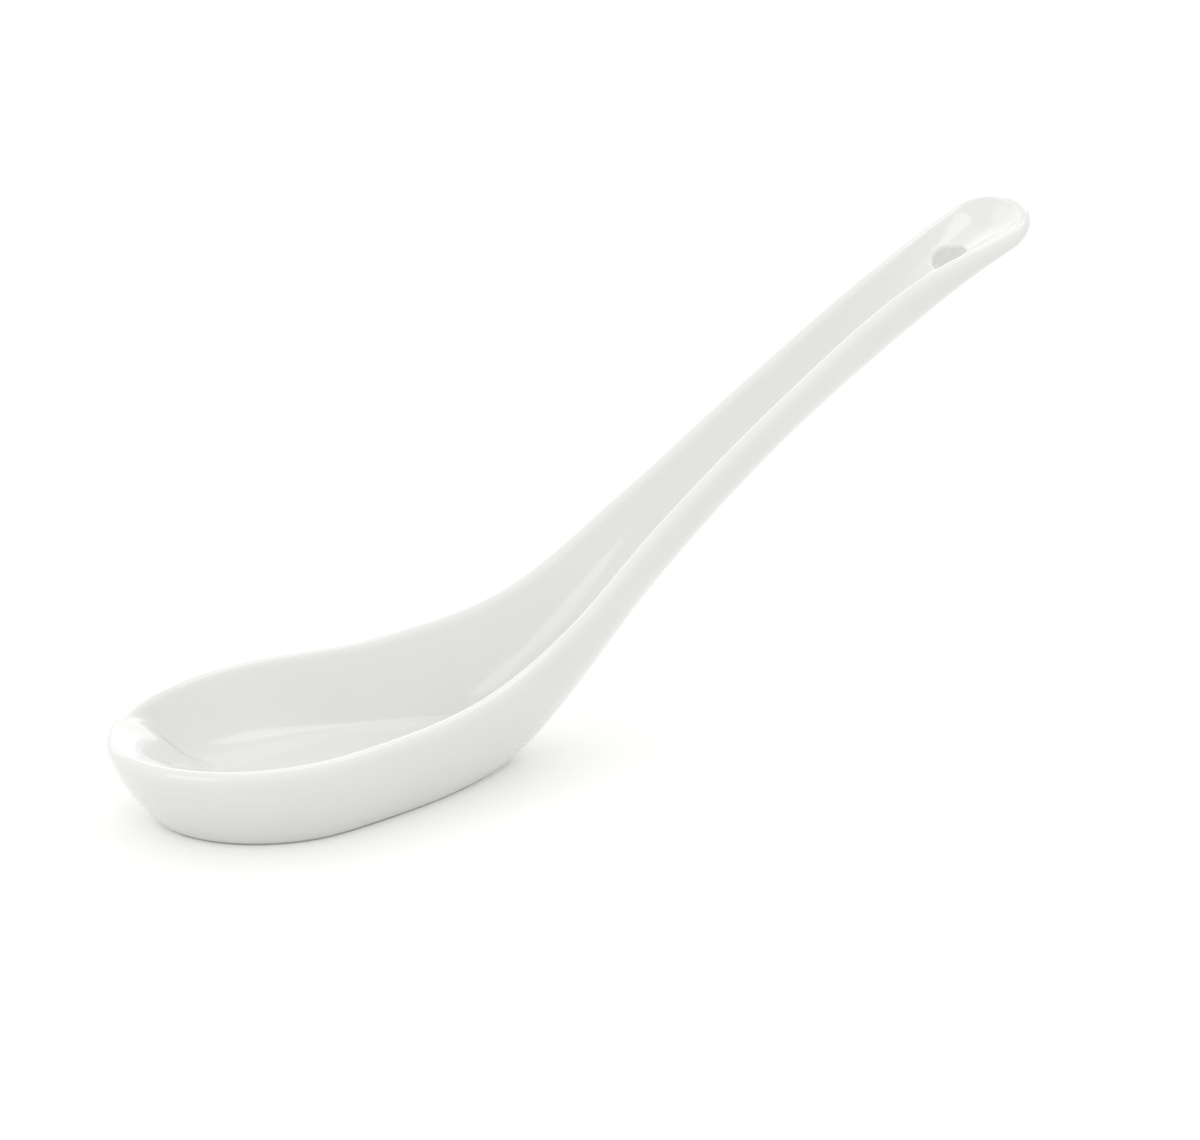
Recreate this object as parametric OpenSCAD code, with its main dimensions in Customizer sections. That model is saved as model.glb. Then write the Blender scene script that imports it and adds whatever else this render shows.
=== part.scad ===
// Chinese soup spoon in glazed white porcelain.
// One fired clay body stands on a bare flat foot, under a fused coat of glaze.
// Frame: +X runs from the bowl to the handle, +Y is across, +Z is up.
// The origin is the middle of the foot, on the table.

/* [Overall] */
// Length from the lip of the bowl to the end of the handle, measured flat
overall_l = 140; // [125:1:160]
// Height of the rim at the lip of the bowl
lip_h = 12; // [10:0.5:15]
// Height of the rim at the end of the handle
handle_h = 67.6; // [55:0.2:80]

/* [Bowl] */
// Width of the bowl over its rim
bowl_w = 38; // [34:0.5:44]
// Distance of the widest section behind the lip
widest_x = 24.5; // [21:0.5:29]
// Distance of the foot's front edge behind the lip
foot_front = 7.2; // [5:0.2:11]
// Depth of the round belly below the rim, before the foot is cut flat
belly_depth = 21.6; // [18:0.2:24]
// Thickness of the rim
rim_t = 2.4; // [1.8:0.1:3]
// Thickness of the clay and glaze between the floor and the foot
floor_t = 4.5; // [3.5:0.1:5]
// Width of the flat floor at the widest section
floor_w = 17.4; // [15:0.2:20]
// Roundness of the edge between the floor and the wall
floor_round = 0.3; // [0.1:0.05:0.6]

/* [Handle] */
// Width of the handle at its narrowest
neck_w = 11.6; // [10:0.2:14]
// Width of the flared end
end_w = 15.6; // [12:0.2:18]
// Length of the round at the end, along the handle
end_round = 5.4; // [3.5:0.1:7]
// Depth of the handle below its rim, measured upright
handle_depth = 8.3; // [7.5:0.1:10]
// Depth of the end below its rim, measured upright
end_depth = 4.5; // [3.6:0.1:6]
// Depth of the trough below the rim, measured upright
trough_depth = 4; // [3:0.1:4.5]
// Depth of the trough where it fades out at the end
trough_end_depth = 1.7; // [1.5:0.1:2]

/* [Hanging hole] */
// Diameter of the hole
hole_d = 4.6; // [3:0.2:5.4]
// Distance of the hole's centre from the end, measured flat
hole_inset = 11.5; // [9:0.5:16]
// Radius of the rounded mouths of the hole
hole_round = 0.7; // [0.4:0.1:1]

/* [Glaze] */
// Thickness of the glaze
glaze_t = 0.3; // [0.2:0.05:0.5]
// Height of the bare clay line between the table and the glaze
bare_h = 0.4; // [0.3:0.1:1]

/* [Hidden] */

// Sections in the round of the lip, along the body and in the round of the end
lip_steps = 13;
body_steps = 26;
end_steps = 6;
// Steps along the body that lie ahead of the foot's heel
foot_steps = 8;
// Points in one half section
wall_steps = 7;
rim_steps = 6;
floor_steps = 3;
// Facets of a full turn of the hole
hole_facets = 48;

// Height of the rim line between the lip and the handle's end: [length share, rise share]
rim_rise_shares = [
    [0, 0], [0.1, 0.009], [0.2, 0.025], [0.33, 0.05], [0.45, 0.148],
    [0.57, 0.365], [0.7, 0.6], [0.85, 0.84], [1, 1]
];
// The tables below start at the widest section, and their position is a share of the
// stretch behind it. The row ahead of zero keeps the curve level at the widest section.
// How much of the bowl's width is left, over the neck's
bowl_taper_shares = [
    [-0.19, 0.7], [0, 1], [0.19, 0.7], [0.335, 0.315], [0.48, 0.095],
    [0.64, 0.01], [0.82, 0], [1, 0]
];
// How much of the flare at the end is reached
end_flare_shares = [[0, 0], [0.64, 0], [0.82, 0], [0.94, 1], [1, 1]];
// How much of the belly's depth is left, over the handle's
belly_shares = [
    [-0.09, 0.94], [0, 1], [0.09, 0.94], [0.19, 0.86], [0.29, 0.74],
    [0.37, 0.49], [0.48, 0.21], [0.64, 0.045], [0.82, 0], [1, 0]
];
// Slope from the bowl's floor up to the lip: [share of the way out, rise share]
front_shares = [
    [0, 0], [0.3, 0.055], [0.4, 0.13], [0.5, 0.25], [0.6, 0.42],
    [0.7, 0.61], [0.8, 0.8], [0.9, 0.94], [1, 1]
];
// How much of the thinning towards the end is reached
thin_end_shares = [[0, 0], [0.64, 0], [0.82, 0], [0.95, 1], [1, 1]];
// How much of the bowl's inner depth is left, over the trough's
hollow_shares = [
    [-0.09, 0.92], [0, 1], [0.09, 1.24], [0.19, 1.48], [0.26, 1.7],
    [0.335, 1.15], [0.48, 0.32], [0.64, 0.05], [0.82, 0], [1, 0]
];
// How much of the trough's fading is reached
fade_shares = [[0, 0], [0.48, 0], [0.64, 0], [0.82, 0.25], [0.95, 1], [1, 1]];

// Roundness of the plan outline and the outer walls: 1 is straight, 2 is round
outline_power = 1.9;
lip_power = 1.4;
belly_power = 1.6;
handle_power = 2;
// Fullness of the inner walls: the higher it is, the flatter they start and the steeper they end
bowl_power = 4.2;
trough_power = 2.2;
// How quickly the slope behind the lip sinks away to the sides
front_sink = 1.4;
// Stretch of the lip's round over which that slope turns into the bowl's side wall
front_end_share = 0.3;
side_start_share = 0.62;
// Stretches over which the outer wall and the inner wall turn from the bowl's to the handle's
belly_end_share = 0.35;
handle_start_share = 0.6;
bowl_end_share = 0.25;
trough_start_share = 0.5;
// Least width of the strip beside the centre line, as a share of the half section
centre_strip_share = 0.3;
// Halvings by which the foot's heel is found
heel_steps = 24;

// Room by which a cut runs past what it cuts
overrun = 1;
rim_r = rim_t / 2;
end_x = overall_l - end_round;

// Slope of a table's curve at one row, taken between its neighbours
function slope_at(table, i) =
    let (a = max(i - 1, 0), b = min(i + 1, len(table) - 1))
    (table[b][1] - table[a][1]) / (table[b][0] - table[a][0]);

// Last row of a table that starts at or before a position
function row_at(table, u, i = 0) =
    i >= len(table) - 2 || u < table[i + 1][0] ? i : row_at(table, u, i + 1);

// Smooth curve through a table's rows
function curve(table, u) =
    let (
        i = row_at(table, u),
        width = table[i + 1][0] - table[i][0],
        t = (min(max(u, table[0][0]), table[len(table) - 1][0]) - table[i][0]) / width,
        up = t * t * (3 - 2 * t)
    )
    table[i][1] * (1 - up) + table[i + 1][1] * up
    + width * t * (1 - t) * ((1 - t) * slope_at(table, i) - t * slope_at(table, i + 1));

function mix(a, b, share) = a + (b - a) * share;
function ease(a, b, u) =
    let (t = min(max((u - a) / (b - a), 0), 1))
    t * t * (3 - 2 * t);

// Share of the stretch between the widest section and the handle's end
function behind(x) = (x - widest_x) / (overall_l - widest_x);

// Height of the rim's crest
function rim_z(x) = lip_h + (handle_h - lip_h) * curve(rim_rise_shares, x / overall_l);

// Half the width behind the widest section
function half_w(x) =
    neck_w / 2
    + (bowl_w - neck_w) / 2 * curve(bowl_taper_shares, behind(x))
    + (end_w - neck_w) / 2 * curve(end_flare_shares, behind(x));

// Height of the belly's and the handle's lowest line. It runs below the table under the
// bowl, where the foot is cut flat.
function keel_z(x) =
    rim_z(x) - handle_depth
    - (belly_depth - handle_depth) * curve(belly_shares, behind(x))
    - (end_depth - handle_depth) * curve(thin_end_shares, behind(x));

// Last position on the table ahead of where the lowest line lifts off, found by halving
function heel(a, b, steps) =
    let (x = (a + b) / 2)
    steps == 0 ? a
    : keel_z(x) < 0 ? heel(x, b, steps - 1)
    : heel(a, x, steps - 1);
heel_x = heel(widest_x, end_x, heel_steps);

// Rise of a rounded wall, from 0 at its foot to 1 at its top, over a share of its reach
function wall_rise(share, power) = 1 - pow(1 - pow(share, power), 1 / power);
function wall_share(rise, power) = pow(1 - pow(1 - rise, power), 1 / power);

// Height where walls would meet on the centre line, if they pass a level at a share of
// their rise
function wall_base(level, rise, top) = (level - rise * top) / (1 - rise);

lip_keel = wall_base(0, wall_rise(1 - foot_front / widest_x, lip_power), lip_h - rim_r);
side_share = floor_w / (bowl_w - 2 * rim_t);
side_base = wall_base(floor_t, pow(side_share, bowl_power), rim_z(widest_x) - rim_r / 2);
bowl_depth = rim_z(widest_x) - side_base;

// Height of the hollow's lowest line, before the floor levels it
function hollow_z(x) =
    rim_z(x) - trough_depth
    - (bowl_depth - trough_depth) * curve(hollow_shares, behind(x))
    - (trough_end_depth - trough_depth) * curve(fade_shares, behind(x));

// Levels a height off at the floor, with a rounded edge
function above_floor(z) =
    let (rise = z - floor_t)
    floor_t + (rise + sqrt(rise * rise + 4 * floor_round * floor_round)) / 2;

// Position of a section along the body. One of them is at the heel.
function body_x(i) =
    i < foot_steps
        ? mix(widest_x, heel_x, i / foot_steps)
        : mix(heel_x, end_x, (i - foot_steps) / (body_steps - foot_steps));

// Slope at which a hollow's wall runs on from the round of the rim, found step by step
function rim_slope(reach, depth, power, a = 60, steps = 6) =
    steps == 0 ? a
    : let (
        rise = depth - rim_r * (1 - cos(a)),
        run = reach - rim_r * (1 + sin(a))
    )
    rim_slope(reach, depth, power, atan(power * rise / run), steps - 1);

// One section of the half outline: [outline x, half width, centre x, turn of the lip's round]
last_section = lip_steps + body_steps + end_steps;
function section(k) =
    k <= lip_steps
        ? let (a = 90 * k / lip_steps)
            [
                widest_x * (1 - pow(cos(a), 2 / outline_power)),
                bowl_w / 2 * pow(sin(a), 2 / outline_power),
                widest_x,
                pow(sin(a), 2)
            ]
        : k <= lip_steps + body_steps
        ? let (x = body_x(k - lip_steps))
            [x, half_w(x), x, 1]
        : let (a = 90 * (k - lip_steps - body_steps) / end_steps)
            [
                end_x + end_round * pow(sin(a), 2 / outline_power),
                k == last_section ? 0 : half_w(end_x) * pow(cos(a), 2 / outline_power),
                end_x,
                1
            ];

// Lowest heights under the wall and inside it, for a point of a section. They run on past
// the section's centre in the round of the end.
function under_z(s, x) = mix(lip_keel, keel_z(max(x, s[2])), s[3]);
function inner_z(s, x) =
    s[3] < 1 ? side_base : hollow_z(max(x, s[2]));

// Points of one half section, from the middle of the underside over the rim to the middle
// of the hollow. A share of 0 is the centre and 1 is the outline.
function section_points(k) =
    let (
        s = section(k),
        reach = norm([s[0] - s[2], s[1]]),
        dir = [(s[0] - s[2]) / reach, -s[1] / reach],
        top = rim_z(s[0]) - rim_r,
        turn = ease(belly_end_share, handle_start_share, s[2] / overall_l),
        power = mix(mix(lip_power, belly_power, s[3]), handle_power, turn),
        keel = under_z(s, s[2]),
        foot_share = keel < 0 ? wall_share(-keel / (top - keel), power) : 0,
        strip = max(foot_share, centre_strip_share),
        start = asin(pow(strip, power / 2)),
        full = ease(bowl_end_share, trough_start_share, s[2] / overall_l),
        inner_power = mix(bowl_power, trough_power, full),
        side = ease(front_end_share, side_start_share, s[3]),
        sink = 1 + front_sink * s[3],
        steep = mix(slope_at(front_shares, len(front_shares) - 1) * sink, inner_power, side),
        base = inner_z(s, s[2]),
        slope = rim_slope(reach, top + rim_r - base, steep),
        inner_reach = reach - rim_r * (1 + sin(slope)),
        inner_top = top + rim_r * cos(slope),
        floor_share = pow(max(floor_t - base, 0) / (inner_top - base), 1 / inner_power),
        inner_strip = max(floor_share, centre_strip_share)
    )
    concat(
        [[s[2], 0, max(keel, 0)]],
        [
            for (i = [0 : wall_steps])
                let (
                    a = mix(start, 90, i / wall_steps),
                    d = reach * pow(sin(a), 2 / power),
                    x = s[2] + dir[0] * d,
                    z = mix(top, under_z(s, x), pow(cos(a), 2 / power))
                )
                [x, dir[1] * d, i == 0 && foot_share >= centre_strip_share ? 0 : max(z, 0)]
        ],
        [
            for (i = [1 : rim_steps])
                let (
                    a = (90 + slope) * i / rim_steps,
                    d = reach - rim_r * (1 - cos(a))
                )
                [s[2] + dir[0] * d, dir[1] * d, top + rim_r * sin(a)]
        ],
        [
            for (i = [1 : wall_steps + floor_steps])
                let (
                    share = i <= wall_steps
                        ? mix(1, inner_strip, i / wall_steps)
                        : inner_strip * (1 - (i - wall_steps) / floor_steps),
                    x = s[2] + dir[0] * inner_reach * share,
                    rise = mix(pow(curve(front_shares, share), sink), pow(share, inner_power), side),
                    z = mix(inner_z(s, x), inner_top, rise)
                )
                [x, dir[1] * inner_reach * share, above_floor(z)]
        ]
    );

grid = [for (k = [0 : last_section]) section_points(k)];
last_point = len(grid[0]) - 1;

function mirrored(p) = [p[0], -p[1], p[2]];

// A point of the grid, mirrored past the lip and past the handle's end
function grid_point(k, j) =
    k < 0 ? mirrored(grid[-k][j])
    : k > last_section ? mirrored(grid[2 * last_section - k][j])
    : grid[k][j];

// Outward direction of the surface at a point of the grid
function outward(k, j) =
    let (
        on_centre = j == 0 || j == last_point,
        a = max(k - 1, lip_steps),
        b = min(max(k + 1, lip_steps + 1), lip_steps + body_steps),
        run = grid[b][j] - grid[a][j],
        along = on_centre ? [run[0], 0, run[2]] : grid_point(k + 1, j) - grid_point(k - 1, j),
        across = on_centre ? [0, j == 0 ? -1 : 1, 0] : grid[k][j + 1] - grid[k][j - 1],
        n = cross(along, across)
    )
    n / norm(n);

// A point of the grid moved inwards. What stands on the table stays on it.
function inset_point(k, j, inset) =
    let (p = grid[k][j])
    inset == 0 ? p
    : p[2] > 0 ? p - inset * outward(k, j)
    : j == 0 ? p
    : let (s = section(k), r = norm([p[0] - s[2], p[1]]))
        [s[2] + (p[0] - s[2]) * (1 - inset / r), p[1] * (1 - inset / r), 0];

// Solid inside the grid, moved inwards by inset
module spoon_form(inset) {
    sections = 2 * last_section;
    rim_points = last_point - 1;
    centres = body_steps + 1;
    skin = [
        for (i = [0 : sections - 1])
            let (k = i <= last_section ? i : sections - i)
            for (j = [1 : rim_points])
                let (p = inset_point(k, j, inset))
                i <= last_section ? p : mirrored(p)
    ];
    underside = [
        for (c = [0 : body_steps])
            inset_point(lip_steps + c, 0, inset)
    ];
    hollow = [
        for (c = [0 : body_steps])
            inset_point(lip_steps + c, last_point, inset)
    ];
    first_under = len(skin);
    first_hollow = first_under + centres;
    function at(i, j) = (i % sections) * rim_points + j - 1;
    function centre(i) =
        let (k = i % sections <= last_section ? i % sections : sections - i % sections)
        min(max(k - lip_steps, 0), body_steps);
    faces = [
        for (i = [0 : sections - 1])
            let (c = centre(i), d = centre(i + 1))
            each concat(
                [
                    for (j = [1 : rim_points - 1])
                        each [
                            [at(i, j), at(i, j + 1), at(i + 1, j + 1)],
                            [at(i, j), at(i + 1, j + 1), at(i + 1, j)]
                        ]
                ],
                [[first_under + c, at(i, 1), at(i + 1, 1)]],
                [[first_hollow + c, at(i + 1, rim_points), at(i, rim_points)]],
                c == d ? [] : [
                    [first_under + c, at(i + 1, 1), first_under + d],
                    [first_hollow + c, first_hollow + d, at(i + 1, rim_points)]
                ]
            )
    ];
    polyhedron(concat(skin, underside, hollow), faces);
}

// Slope of the trough at the hole, from the points on either side of it
hole_x = overall_l - hole_inset;
hole_reach = hole_d / 2;
hole_tilt = atan2(
    hollow_z(hole_x + hole_reach) - hollow_z(hole_x - hole_reach),
    2 * hole_reach
);
hole_top = hollow_z(hole_x);
hole_wall = (hole_top - keel_z(hole_x)) * cos(hole_tilt);

// Cutter of the hanging hole, with a flare at each mouth. growth widens it.
module hole_cutter(growth) {
    r = hole_d / 2 + growth;
    flare = hole_round;
    top = -growth;
    bottom = -hole_wall + growth;
    translate([hole_x, 0, hole_top])
        rotate([0, -hole_tilt, 0])
            rotate_extrude($fn = hole_facets)
                difference() {
                    translate([0, bottom - flare])
                        square([r + flare, top - bottom + 2 * flare]);
                    translate([r + flare, top - flare])
                        circle(flare);
                    translate([r + flare, bottom + flare])
                        circle(flare);
                    translate([r, bottom + flare])
                        square([flare + overrun, top - bottom - 2 * flare]);
                }
}

module placed() {
    foot_middle = (foot_front + heel_x) / 2;
    translate([-foot_middle, 0, 0])
        children();
}

// Fired clay body with its bare flat foot
module porcelain_body() {
    color("ivory")
        placed()
            difference() {
                spoon_form(glaze_t);
                hole_cutter(glaze_t);
            }
}

// Glaze over everything but the foot
module glaze_coat() {
    color("white")
        placed()
            difference() {
                spoon_form(0);
                hole_cutter(0);
                difference() {
                    spoon_form(glaze_t);
                    hole_cutter(glaze_t);
                }
                translate([0, -bowl_w, -overrun])
                    cube([overall_l, 2 * bowl_w, bare_h + overrun]);
            }
}

porcelain_body();
glaze_coat();
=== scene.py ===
"""Looks of a glazed porcelain soup spoon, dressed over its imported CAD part.

The spoon is one fired clay body under a coat of glaze. Both are grown from one skin: a
flat sheet draped over half of the form, mirrored, and drilled for the hanging hole.
"""

import logging
import math
from dataclasses import dataclass, field
from enum import Enum

import bmesh
import bpy
from mathutils import Matrix, Vector
from mathutils.bvhtree import BVHTree

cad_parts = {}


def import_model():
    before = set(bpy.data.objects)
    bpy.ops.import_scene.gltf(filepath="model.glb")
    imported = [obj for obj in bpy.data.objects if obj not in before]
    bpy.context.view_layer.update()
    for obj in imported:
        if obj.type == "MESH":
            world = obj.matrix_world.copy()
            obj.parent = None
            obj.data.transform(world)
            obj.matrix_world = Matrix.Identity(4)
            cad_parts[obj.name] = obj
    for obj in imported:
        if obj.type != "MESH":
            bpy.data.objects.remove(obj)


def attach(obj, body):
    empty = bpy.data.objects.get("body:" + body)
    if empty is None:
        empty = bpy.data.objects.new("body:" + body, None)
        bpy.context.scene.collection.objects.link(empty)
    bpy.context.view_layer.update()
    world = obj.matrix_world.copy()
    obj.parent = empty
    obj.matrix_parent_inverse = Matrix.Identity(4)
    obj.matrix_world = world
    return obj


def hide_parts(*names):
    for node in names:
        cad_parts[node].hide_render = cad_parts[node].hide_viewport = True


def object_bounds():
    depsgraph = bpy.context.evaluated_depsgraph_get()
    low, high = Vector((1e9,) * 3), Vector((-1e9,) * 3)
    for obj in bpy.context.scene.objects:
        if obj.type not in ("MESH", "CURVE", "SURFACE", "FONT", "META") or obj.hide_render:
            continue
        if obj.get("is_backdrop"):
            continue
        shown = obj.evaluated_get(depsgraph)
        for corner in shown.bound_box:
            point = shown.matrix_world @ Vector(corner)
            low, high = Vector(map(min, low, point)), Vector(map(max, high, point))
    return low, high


LOG = logging.getLogger("soup_spoon")
MM = 0.001
MERGE_DISTANCE = 1e-4
HALVINGS = 24
FIRST_SLOPE = math.pi / 3
SLOPE_ROUNDS = 6
EVEN_GLAZE = 0.5
MIX_COLOUR_A, MIX_COLOUR_B, MIX_COLOUR_OUT = 6, 7, 2

Pair = tuple[float, float]
Triple = tuple[float, float, float]


class Slot(Enum):
    """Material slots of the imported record."""

    BARE_CLAY = "bare_clay"
    WHITE_GLAZE = "white_glaze"


def mix(a: float, b: float, share: float) -> float:
    """Goes from a to b by a share."""
    return a + (b - a) * share


def ease(a: float, b: float, u: float) -> float:
    """Rises smoothly from 0 at a to 1 at b."""
    t = min(max((u - a) / (b - a), 0.0), 1.0)
    return t * t * (3 - 2 * t)


def wall_rise(share: float, power: float) -> float:
    """Rise of a rounded wall, from 0 at its foot to 1 at the end of its reach."""
    return 1 - (1 - share**power) ** (1 / power)


def wall_share(rise: float, power: float) -> float:
    """Share of its reach at which a rounded wall has a rise."""
    return (1 - (1 - rise) ** power) ** (1 / power)


@dataclass(frozen=True)
class Curve:
    """Smooth curve through rows of position and value."""

    rows: tuple[Pair, ...]

    def slope(self, i: int) -> float:
        """Slope at a row, taken between its neighbours."""
        a, b = self.rows[max(i - 1, 0)], self.rows[min(i + 1, len(self.rows) - 1)]
        return (b[1] - a[1]) / (b[0] - a[0])

    def at(self, u: float) -> float:
        """Value at a position.

        Args:
            u: The position, held within the first and the last row.

        Returns:
            The curve's value there.
        """
        u = min(max(u, self.rows[0][0]), self.rows[-1][0])
        i = 0
        while i < len(self.rows) - 2 and u >= self.rows[i + 1][0]:
            i += 1
        (x0, y0), (x1, y1) = self.rows[i], self.rows[i + 1]
        width = x1 - x0
        t = (u - x0) / width
        bend = (1 - t) * self.slope(i) - t * self.slope(i + 1)
        return mix(y0, y1, ease(0, 1, t)) + width * t * (1 - t) * bend


@dataclass(frozen=True)
class Station:
    """One section of half the form, across its wall.

    Args:
        centre: Position of its inner end on the centre line.
        reach: Distance from there to the outline.
        run: Share of the reach that goes along the spoon.
        across: Share of the reach that goes across it.
        turn: Turn from the lip, 0, to the side, 1.
    """

    centre: float
    reach: float
    run: float
    across: float
    turn: float

    def point(self, distance: float, height: float) -> Vector:
        """Point of the section at a distance from its centre."""
        x = self.centre + self.run * distance
        return Vector((x, -self.across * distance, height))


@dataclass(frozen=True)
class SpoonForm:
    """Shape of the spoon in millimetres, measured from the lip and from the table."""

    overall_l: float = 140.0
    lip_h: float = 12.0
    handle_h: float = 67.6
    bowl_w: float = 38.0
    widest_x: float = 24.5
    foot_front: float = 7.2
    belly_depth: float = 21.6
    rim_t: float = 2.4
    floor_t: float = 4.5
    floor_w: float = 17.4
    floor_round: float = 0.3
    neck_w: float = 11.6
    end_w: float = 15.6
    end_round: float = 5.4
    handle_depth: float = 8.3
    end_depth: float = 4.5
    trough_depth: float = 4.0
    trough_end_depth: float = 1.7
    outline_power: float = 1.9
    lip_power: float = 1.4
    belly_power: float = 1.6
    handle_power: float = 2.0
    bowl_power: float = 4.2
    front_sink: float = 1.4
    trough_power: float = 2.2
    front_end_share: float = 0.3
    side_start_share: float = 0.62
    belly_end_share: float = 0.35
    handle_start_share: float = 0.6
    bowl_end_share: float = 0.25
    trough_start_share: float = 0.5
    centre_strip_share: float = 0.3
    rim_rise: Curve = Curve(
        (
            (0, 0), (0.1, 0.009), (0.2, 0.025), (0.33, 0.05), (0.45, 0.148),
            (0.57, 0.365), (0.7, 0.6), (0.85, 0.84), (1, 1),
        )
    )
    bowl_taper: Curve = Curve(
        (
            (-0.19, 0.7), (0, 1), (0.19, 0.7), (0.335, 0.315), (0.48, 0.095),
            (0.64, 0.01), (0.82, 0), (1, 0),
        )
    )
    end_flare: Curve = Curve(((0, 0), (0.64, 0), (0.82, 0), (0.94, 1), (1, 1)))
    belly: Curve = Curve(
        (
            (-0.09, 0.94), (0, 1), (0.09, 0.94), (0.19, 0.86), (0.29, 0.74),
            (0.37, 0.49), (0.48, 0.21), (0.64, 0.045), (0.82, 0), (1, 0),
        )
    )
    front: Curve = Curve(
        (
            (0, 0), (0.3, 0.055), (0.4, 0.13), (0.5, 0.25), (0.6, 0.42),
            (0.7, 0.61), (0.8, 0.8), (0.9, 0.94), (1, 1),
        )
    )
    thin_end: Curve = Curve(((0, 0), (0.64, 0), (0.82, 0), (0.95, 1), (1, 1)))
    hollow: Curve = Curve(
        (
            (-0.09, 0.92), (0, 1), (0.09, 1.24), (0.19, 1.48), (0.26, 1.7),
            (0.335, 1.15), (0.48, 0.32), (0.64, 0.05), (0.82, 0), (1, 0),
        )
    )
    fade: Curve = Curve(
        ((0, 0), (0.48, 0), (0.64, 0), (0.82, 0.25), (0.95, 1), (1, 1))
    )

    @property
    def rim_r(self) -> float:
        """Radius of the half-round rim."""
        return self.rim_t / 2

    @property
    def end_x(self) -> float:
        """Position where the round of the handle's end starts."""
        return self.overall_l - self.end_round

    def behind(self, x: float) -> float:
        """Share of the stretch between the widest section and the handle's end."""
        return (x - self.widest_x) / (self.overall_l - self.widest_x)

    def rim_z(self, x: float) -> float:
        """Height of the rim's crest."""
        rise = self.rim_rise.at(x / self.overall_l)
        return self.lip_h + (self.handle_h - self.lip_h) * rise

    def half_w(self, x: float) -> float:
        """Half the width behind the widest section.

        Args:
            x: Distance behind the lip.

        Returns:
            The distance from the centre line to the outline.
        """
        u = self.behind(x)
        bowl = (self.bowl_w - self.neck_w) / 2 * self.bowl_taper.at(u)
        flare = (self.end_w - self.neck_w) / 2 * self.end_flare.at(u)
        return self.neck_w / 2 + bowl + flare

    def keel_z(self, x: float) -> float:
        """Height of the lowest line, which runs below the table over the foot.

        Args:
            x: Distance behind the lip.

        Returns:
            The height on the centre line, before the foot is cut.
        """
        u = self.behind(x)
        belly = (self.belly_depth - self.handle_depth) * self.belly.at(u)
        end = (self.end_depth - self.handle_depth) * self.thin_end.at(u)
        return self.rim_z(x) - self.handle_depth - belly - end

    @staticmethod
    def wall_base(level: float, rise: float, top: float) -> float:
        """Height where walls would meet on the centre line.

        Args:
            level: A height that the walls pass.
            rise: Share of their rise at which they pass it.
            top: Height of their tops.

        Returns:
            The height on the centre line.
        """
        return (level - rise * top) / (1 - rise)

    @property
    def lip_keel(self) -> float:
        """Height under the middle where the lip's outer wall would meet itself."""
        rise = wall_rise(1 - self.foot_front / self.widest_x, self.lip_power)
        return self.wall_base(0, rise, self.lip_h - self.rim_r)

    @property
    def side_base(self) -> float:
        """Height under the middle where the bowl's side walls would meet.

        Returns:
            The height on the centre line.
        """
        share = self.floor_w / (self.bowl_w - 2 * self.rim_t)
        top = self.rim_z(self.widest_x) - self.rim_r / 2
        return self.wall_base(self.floor_t, share**self.bowl_power, top)

    def rim_slope(self, reach: float, depth: float, power: float) -> float:
        """Slope at which a hollow's wall runs on from the round of the rim.

        Args:
            reach: Distance from the centre line to the outline.
            depth: Depth of the hollow under the rim's crest.
            power: Fullness of the wall.

        Returns:
            The angle from the level, in radians.
        """
        a = FIRST_SLOPE
        for _ in range(SLOPE_ROUNDS):
            rise = depth - self.rim_r * (1 - math.cos(a))
            a = math.atan(power * rise / (reach - self.rim_r * (1 + math.sin(a))))
        return a

    def hollow_z(self, x: float) -> float:
        """Height of the hollow's lowest line, before the floor levels it.

        Args:
            x: Distance behind the lip.

        Returns:
            The height on the centre line.
        """
        u = self.behind(x)
        bowl_depth = self.rim_z(self.widest_x) - self.side_base
        bowl = (bowl_depth - self.trough_depth) * self.hollow.at(u)
        end = (self.trough_end_depth - self.trough_depth) * self.fade.at(u)
        return self.rim_z(x) - self.trough_depth - bowl - end

    def above_floor(self, z: float) -> float:
        """Levels a height off at the floor, with a rounded edge."""
        rise = z - self.floor_t
        return self.floor_t + (rise + math.hypot(rise, 2 * self.floor_round)) / 2

    def heel_x(self) -> float:
        """Last position at which the form stands on the table, found by halving.

        Returns:
            The distance behind the lip.
        """
        a, b = self.widest_x, self.end_x
        for _ in range(HALVINGS):
            x = (a + b) / 2
            a, b = (x, b) if self.keel_z(x) < 0 else (a, x)
        return a


@dataclass(frozen=True)
class SkinMesh:
    """How finely the skin is meshed: numbers of steps."""

    lip_steps: int = 44
    heel_steps: int = 40
    handle_steps: int = 96
    end_steps: int = 26
    under_steps: int = 6
    outer_steps: int = 22
    rim_steps: int = 14
    inner_steps: int = 24
    floor_steps: int = 8

    @property
    def stations(self) -> int:
        """Steps from the lip's middle to the end's middle."""
        return self.lip_steps + self.heel_steps + self.handle_steps + self.end_steps

    @property
    def points(self) -> int:
        """Steps from the underside's middle over the rim to the hollow's middle."""
        outside = self.under_steps + self.outer_steps
        return outside + self.rim_steps + self.inner_steps + self.floor_steps


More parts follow.
